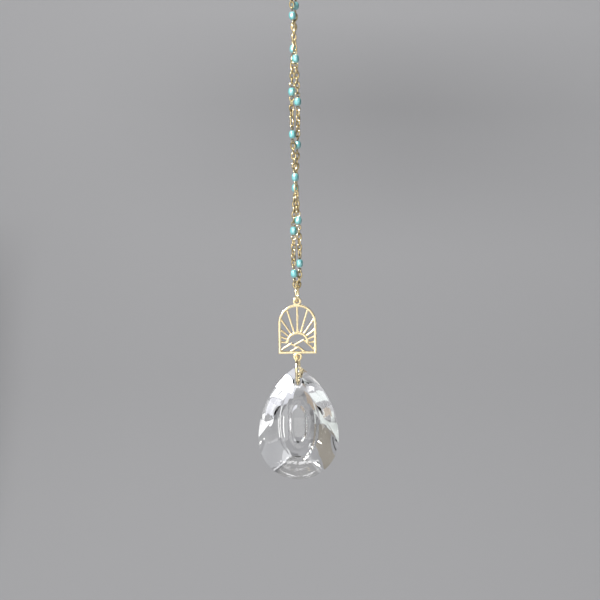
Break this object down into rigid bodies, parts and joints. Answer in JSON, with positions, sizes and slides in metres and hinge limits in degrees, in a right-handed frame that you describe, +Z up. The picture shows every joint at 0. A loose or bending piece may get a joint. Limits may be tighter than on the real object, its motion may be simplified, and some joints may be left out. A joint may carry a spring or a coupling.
{
  "type": "crystal suncatcher",
  "caption": "Hanging suncatcher: a faceted clear glass drop on an openwork sunrise charm, under twisted beaded chains and a hanging ring.",
  "frame": {"origin": "the point inside the top of the hanging ring where a hook bears", "axes": "+Z up along the hanging line, +Y along the view through the charm and the drop, +X to the right seen from the front"},
  "size_m": [0.0272, 0.0112, 0.1915],
  "materials": {
    "gold": "polished pale gold",
    "turquoise": "glossy faceted turquoise",
    "crystal": "clear polished crystal"
  },
  "bodies": {
    "root": {"hanging_ring": "gold", "strand_a_chain": "gold", "strand_b_chain": "gold", "upper_jump_ring": "gold", "sun_charm": "gold", "lower_jump_ring": "gold", "strand_a_bead_1": "turquoise", "strand_a_bead_2": "turquoise", "strand_a_bead_3": "turquoise", "strand_a_bead_4": "turquoise", "strand_a_bead_5": "turquoise", "strand_a_bead_6": "turquoise", "strand_a_bead_7": "turquoise", "strand_a_bead_8": "turquoise", "strand_b_bead_1": "turquoise", "strand_b_bead_2": "turquoise", "strand_b_bead_3": "turquoise", "strand_b_bead_4": "turquoise", "strand_b_bead_5": "turquoise", "strand_b_bead_6": "turquoise", "strand_b_bead_7": "turquoise", "strand_b_bead_8": "turquoise", "crystal_drop": "crystal"}
  },
  "joints": []
}
